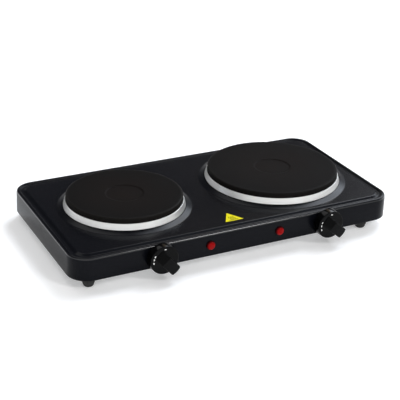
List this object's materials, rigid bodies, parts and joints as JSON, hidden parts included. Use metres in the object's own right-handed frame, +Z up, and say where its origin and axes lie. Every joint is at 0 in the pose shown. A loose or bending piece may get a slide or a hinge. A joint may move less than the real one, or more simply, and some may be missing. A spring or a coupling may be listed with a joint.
{
  "type": "hot plate burner",
  "caption": "Free-standing electric hob: low black pressed-steel body with round cast-iron plates in steel trim rings, turning heat knobs and red lamps on its front.",
  "frame": {"origin": "on the surface it stands on, under the middle of the whole outline with the knobs and the cord gland", "axes": "+X to the right seen from the front, along the length; +Y to the back; +Z up"},
  "size_m": [0.4714, 0.2732, 0.062],
  "materials": {
    "black_enamel": "gloss black heat-proof enamel on pressed steel",
    "cast_iron": "cast iron with a matt black protective coat",
    "stainless": "brushed stainless steel",
    "zinc_steel": "zinc-plated steel",
    "black_plastic": "gloss black phenolic plastic",
    "red_lens": "clear red moulded lens",
    "white_plastic": "off-white heat-proof plastic",
    "ceramic": "unglazed steatite ceramic",
    "brass": "spring brass strip",
    "rubber": "matt black rubber",
    "yellow_label": "printed yellow heat symbol label",
    "element_sheath": "heat-darkened steel sheath",
    "lead_cover": "woven glass-fibre sleeving"
  },
  "bodies": {
    "base": {"base_plate": "zinc_steel", "bimetal_blade_left": "brass", "bimetal_blade_right": "brass", "clamp_bridge_left": "zinc_steel", "clamp_bridge_right": "zinc_steel", "clamp_nut_left": "zinc_steel", "clamp_nut_right": "zinc_steel", "clamp_stud_left": "zinc_steel", "clamp_stud_right": "zinc_steel", "contact_stack_left": "ceramic", "contact_stack_right": "ceramic", "control_frame_left": "zinc_steel", "control_frame_right": "zinc_steel", "control_nut_left": "zinc_steel", "control_nut_right": "zinc_steel", "cord_gland": "rubber", "earth_screw": "zinc_steel", "element_cover_left": "zinc_steel", "element_cover_right": "zinc_steel", "element_terminal_left": "ceramic", "element_terminal_right": "ceramic", "foot_front_left": "rubber", "foot_front_right": "rubber", "foot_rear_left": "rubber", "foot_rear_right": "rubber", "foot_screw_front_left": "zinc_steel", "foot_screw_front_right": "zinc_steel", "foot_screw_rear_left": "zinc_steel", "foot_screw_rear_right": "zinc_steel", "heating_coil_left": "element_sheath", "heating_coil_right": "element_sheath", "hotplate_left": "cast_iron", "hotplate_right": "cast_iron", "housing": "black_enamel", "lamp_body_left": "white_plastic", "lamp_body_right": "white_plastic", "lamp_clip_left": "zinc_steel", "lamp_clip_right": "zinc_steel", "lamp_lens_left": "red_lens", "lamp_lens_right": "red_lens", "lead_control_left": "lead_cover", "lead_control_right": "lead_cover", "lead_element_left": "lead_cover", "lead_element_right": "lead_cover", "mains_terminal": "white_plastic", "thermal_cutout_left": "zinc_steel", "thermal_cutout_right": "zinc_steel", "trim_ring_left": "stainless", "trim_ring_right": "stainless", "warning_label": "yellow_label"},
    "knob_left": {"knob_left": "black_plastic", "control_shaft_left": "zinc_steel"},
    "knob_right": {"knob_right": "black_plastic", "control_shaft_right": "zinc_steel"},
    "contact_arm_left": {"contact_arm_left": "brass"},
    "contact_arm_right": {"contact_arm_right": "brass"}
  },
  "joints": [
    {"name": "left_knob_turn", "type": "hinge", "parent": "base", "child": "knob_left", "pos_m": [-0.1204, -0.11308, 0.0282], "axis": [0, 1, 0], "range_deg": [0, 285]},
    {"name": "left_contact_arm_swing", "type": "hinge", "parent": "base", "child": "contact_arm_left", "pos_m": [-0.1204, -0.08708, 0.02254], "axis": [1, 0, 0], "range_deg": [0, 6.5]},
    {"name": "right_knob_turn", "type": "hinge", "parent": "base", "child": "knob_right", "pos_m": [0.1254, -0.11308, 0.0282], "axis": [0, 1, 0], "range_deg": [0, 285]},
    {"name": "right_contact_arm_swing", "type": "hinge", "parent": "base", "child": "contact_arm_right", "pos_m": [0.1254, -0.08708, 0.02254], "axis": [1, 0, 0], "range_deg": [0, 6.5]}
  ],
  "couplings": [
    {"joint": "left_contact_arm_swing", "follows": "left_knob_turn", "ratio": 0.0222},
    {"joint": "right_contact_arm_swing", "follows": "right_knob_turn", "ratio": 0.0222}
  ]
}
